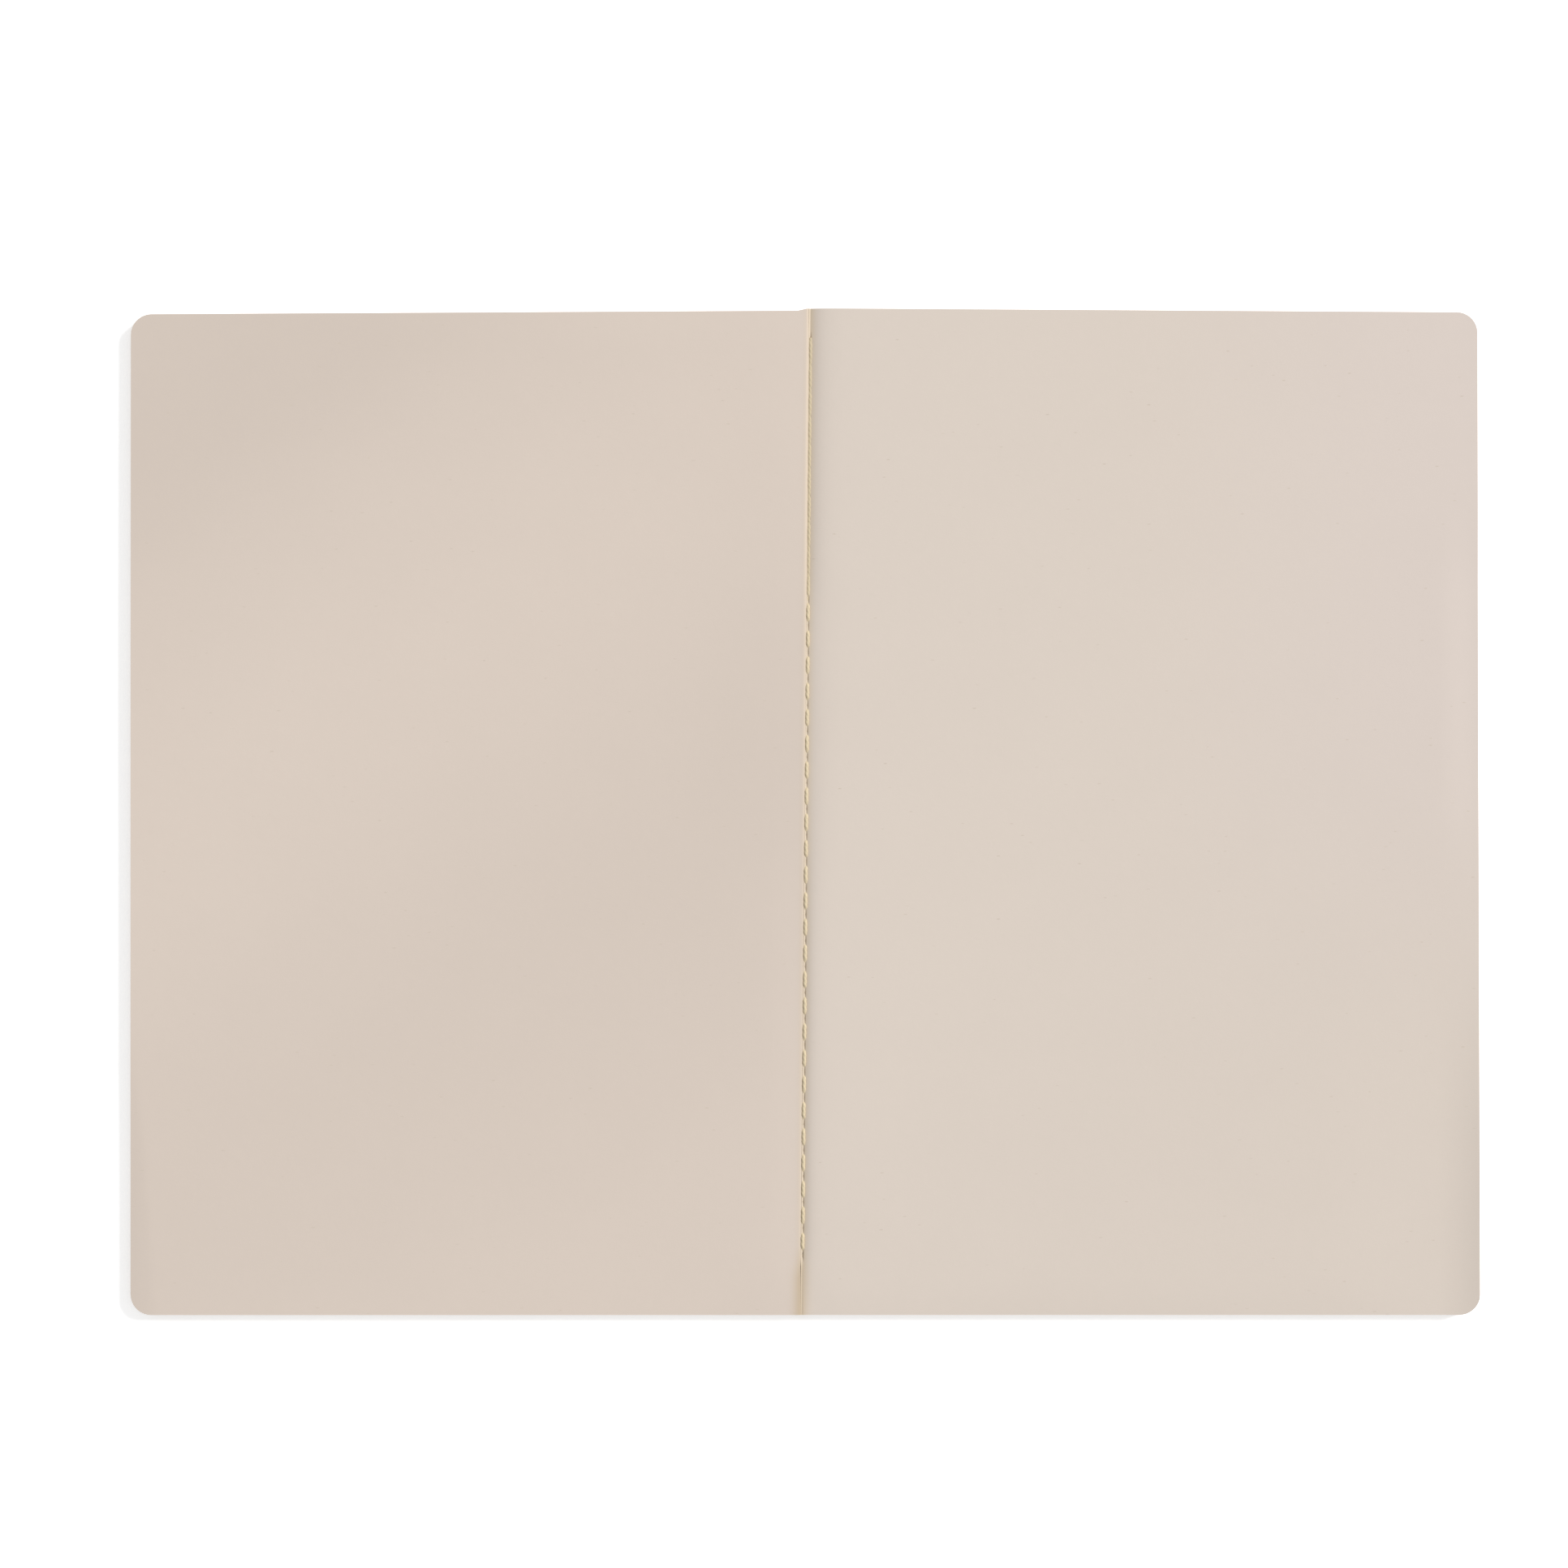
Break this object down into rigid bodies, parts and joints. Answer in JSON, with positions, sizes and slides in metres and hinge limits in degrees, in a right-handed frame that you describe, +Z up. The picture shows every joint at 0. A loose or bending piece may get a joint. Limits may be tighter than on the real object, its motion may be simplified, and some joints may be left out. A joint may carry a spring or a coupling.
{
  "type": "sketchbook",
  "caption": "Soft-cover sketchbook lying open: folded drawing sheets sewn through the fold to a card cover, every leaf and both cover panels turning about the seam.",
  "frame": {"origin": "on the table, under the middle of the open book, below the seam", "axes": "+Z up, +Y along the seam towards the head of the pages, +X towards the right-hand fore edge"},
  "size_m": [0.2832, 0.2112, 0.0034],
  "materials": {
    "drawing_paper": "matte, uncoated, warm cream",
    "cover_card": "matte, uncoated, flecked",
    "sewing_thread": "matte waxed cotton"
  },
  "bodies": {
    "binding": {"cover_spine": "cover_card", "sheet_01_fold": "drawing_paper", "sheet_02_fold": "drawing_paper", "sheet_03_fold": "drawing_paper", "sheet_04_fold": "drawing_paper", "sheet_05_fold": "drawing_paper", "sheet_06_fold": "drawing_paper", "sheet_07_fold": "drawing_paper", "sheet_08_fold": "drawing_paper", "sheet_09_fold": "drawing_paper", "sheet_10_fold": "drawing_paper", "sheet_11_fold": "drawing_paper", "sheet_12_fold": "drawing_paper", "inner_thread": "sewing_thread", "outer_thread": "sewing_thread"},
    "front_cover": {"front_cover": "cover_card"},
    "back_cover": {"back_cover": "cover_card"},
    "sheet_12_left_leaf": {"sheet_12_left_leaf": "drawing_paper"},
    "sheet_11_left_leaf": {"sheet_11_left_leaf": "drawing_paper"},
    "sheet_10_left_leaf": {"sheet_10_left_leaf": "drawing_paper"},
    "sheet_09_left_leaf": {"sheet_09_left_leaf": "drawing_paper"},
    "sheet_08_left_leaf": {"sheet_08_left_leaf": "drawing_paper"},
    "sheet_07_left_leaf": {"sheet_07_left_leaf": "drawing_paper"},
    "sheet_06_left_leaf": {"sheet_06_left_leaf": "drawing_paper"},
    "sheet_05_left_leaf": {"sheet_05_left_leaf": "drawing_paper"},
    "sheet_04_left_leaf": {"sheet_04_left_leaf": "drawing_paper"},
    "sheet_03_left_leaf": {"sheet_03_left_leaf": "drawing_paper"},
    "sheet_02_left_leaf": {"sheet_02_left_leaf": "drawing_paper"},
    "sheet_01_left_leaf": {"sheet_01_left_leaf": "drawing_paper"},
    "sheet_12_right_leaf": {"sheet_12_right_leaf": "drawing_paper"},
    "sheet_11_right_leaf": {"sheet_11_right_leaf": "drawing_paper"},
    "sheet_10_right_leaf": {"sheet_10_right_leaf": "drawing_paper"},
    "sheet_09_right_leaf": {"sheet_09_right_leaf": "drawing_paper"},
    "sheet_08_right_leaf": {"sheet_08_right_leaf": "drawing_paper"},
    "sheet_07_right_leaf": {"sheet_07_right_leaf": "drawing_paper"},
    "sheet_06_right_leaf": {"sheet_06_right_leaf": "drawing_paper"},
    "sheet_05_right_leaf": {"sheet_05_right_leaf": "drawing_paper"},
    "sheet_04_right_leaf": {"sheet_04_right_leaf": "drawing_paper"},
    "sheet_03_right_leaf": {"sheet_03_right_leaf": "drawing_paper"},
    "sheet_02_right_leaf": {"sheet_02_right_leaf": "drawing_paper"},
    "sheet_01_right_leaf": {"sheet_01_right_leaf": "drawing_paper"}
  },
  "joints": [
    {"name": "front_cover_turn", "type": "hinge", "parent": "binding", "child": "front_cover", "pos_m": [0, 0, 0.00318], "axis": [0, 1, 0], "range_deg": [0, 179.99]},
    {"name": "back_cover_turn", "type": "hinge", "parent": "binding", "child": "back_cover", "pos_m": [0, 0, 0.00318], "axis": [0, 1, 0], "range_deg": [-179.99, 0]},
    {"name": "sheet_12_left_turn", "type": "hinge", "parent": "front_cover", "child": "sheet_12_left_leaf", "pos_m": [0, 0, 0.00318], "axis": [0, 1, 0], "range_deg": [0, 179.99]},
    {"name": "sheet_11_left_turn", "type": "hinge", "parent": "sheet_12_left_leaf", "child": "sheet_11_left_leaf", "pos_m": [0, 0, 0.00318], "axis": [0, 1, 0], "range_deg": [0, 179.99]},
    {"name": "sheet_10_left_turn", "type": "hinge", "parent": "sheet_11_left_leaf", "child": "sheet_10_left_leaf", "pos_m": [0, 0, 0.00318], "axis": [0, 1, 0], "range_deg": [0, 179.99]},
    {"name": "sheet_09_left_turn", "type": "hinge", "parent": "sheet_10_left_leaf", "child": "sheet_09_left_leaf", "pos_m": [0, 0, 0.00318], "axis": [0, 1, 0], "range_deg": [0, 179.99]},
    {"name": "sheet_08_left_turn", "type": "hinge", "parent": "sheet_09_left_leaf", "child": "sheet_08_left_leaf", "pos_m": [0, 0, 0.00318], "axis": [0, 1, 0], "range_deg": [0, 179.99]},
    {"name": "sheet_07_left_turn", "type": "hinge", "parent": "sheet_08_left_leaf", "child": "sheet_07_left_leaf", "pos_m": [0, 0, 0.00318], "axis": [0, 1, 0], "range_deg": [0, 179.99]},
    {"name": "sheet_06_left_turn", "type": "hinge", "parent": "sheet_07_left_leaf", "child": "sheet_06_left_leaf", "pos_m": [0, 0, 0.00318], "axis": [0, 1, 0], "range_deg": [0, 179.99]},
    {"name": "sheet_05_left_turn", "type": "hinge", "parent": "sheet_06_left_leaf", "child": "sheet_05_left_leaf", "pos_m": [0, 0, 0.00318], "axis": [0, 1, 0], "range_deg": [0, 179.99]},
    {"name": "sheet_04_left_turn", "type": "hinge", "parent": "sheet_05_left_leaf", "child": "sheet_04_left_leaf", "pos_m": [0, 0, 0.00318], "axis": [0, 1, 0], "range_deg": [0, 179.99]},
    {"name": "sheet_03_left_turn", "type": "hinge", "parent": "sheet_04_left_leaf", "child": "sheet_03_left_leaf", "pos_m": [0, 0, 0.00318], "axis": [0, 1, 0], "range_deg": [0, 179.99]},
    {"name": "sheet_02_left_turn", "type": "hinge", "parent": "sheet_03_left_leaf", "child": "sheet_02_left_leaf", "pos_m": [0, 0, 0.00318], "axis": [0, 1, 0], "range_deg": [0, 179.99]},
    {"name": "sheet_01_left_turn", "type": "hinge", "parent": "sheet_02_left_leaf", "child": "sheet_01_left_leaf", "pos_m": [0, 0, 0.00318], "axis": [0, 1, 0], "range_deg": [0, 179.99]},
    {"name": "sheet_12_right_turn", "type": "hinge", "parent": "back_cover", "child": "sheet_12_right_leaf", "pos_m": [0, 0, 0.00318], "axis": [0, 1, 0], "range_deg": [-179.99, 0]},
    {"name": "sheet_11_right_turn", "type": "hinge", "parent": "sheet_12_right_leaf", "child": "sheet_11_right_leaf", "pos_m": [0, 0, 0.00318], "axis": [0, 1, 0], "range_deg": [-179.99, 0]},
    {"name": "sheet_10_right_turn", "type": "hinge", "parent": "sheet_11_right_leaf", "child": "sheet_10_right_leaf", "pos_m": [0, 0, 0.00318], "axis": [0, 1, 0], "range_deg": [-179.99, 0]},
    {"name": "sheet_09_right_turn", "type": "hinge", "parent": "sheet_10_right_leaf", "child": "sheet_09_right_leaf", "pos_m": [0, 0, 0.00318], "axis": [0, 1, 0], "range_deg": [-179.99, 0]},
    {"name": "sheet_08_right_turn", "type": "hinge", "parent": "sheet_09_right_leaf", "child": "sheet_08_right_leaf", "pos_m": [0, 0, 0.00318], "axis": [0, 1, 0], "range_deg": [-179.99, 0]},
    {"name": "sheet_07_right_turn", "type": "hinge", "parent": "sheet_08_right_leaf", "child": "sheet_07_right_leaf", "pos_m": [0, 0, 0.00318], "axis": [0, 1, 0], "range_deg": [-179.99, 0]},
    {"name": "sheet_06_right_turn", "type": "hinge", "parent": "sheet_07_right_leaf", "child": "sheet_06_right_leaf", "pos_m": [0, 0, 0.00318], "axis": [0, 1, 0], "range_deg": [-179.99, 0]},
    {"name": "sheet_05_right_turn", "type": "hinge", "parent": "sheet_06_right_leaf", "child": "sheet_05_right_leaf", "pos_m": [0, 0, 0.00318], "axis": [0, 1, 0], "range_deg": [-179.99, 0]},
    {"name": "sheet_04_right_turn", "type": "hinge", "parent": "sheet_05_right_leaf", "child": "sheet_04_right_leaf", "pos_m": [0, 0, 0.00318], "axis": [0, 1, 0], "range_deg": [-179.99, 0]},
    {"name": "sheet_03_right_turn", "type": "hinge", "parent": "sheet_04_right_leaf", "child": "sheet_03_right_leaf", "pos_m": [0, 0, 0.00318], "axis": [0, 1, 0], "range_deg": [-179.99, 0]},
    {"name": "sheet_02_right_turn", "type": "hinge", "parent": "sheet_03_right_leaf", "child": "sheet_02_right_leaf", "pos_m": [0, 0, 0.00318], "axis": [0, 1, 0], "range_deg": [-179.99, 0]},
    {"name": "sheet_01_right_turn", "type": "hinge", "parent": "sheet_02_right_leaf", "child": "sheet_01_right_leaf", "pos_m": [0, 0, 0.00318], "axis": [0, 1, 0], "range_deg": [-179.99, 0]}
  ]
}
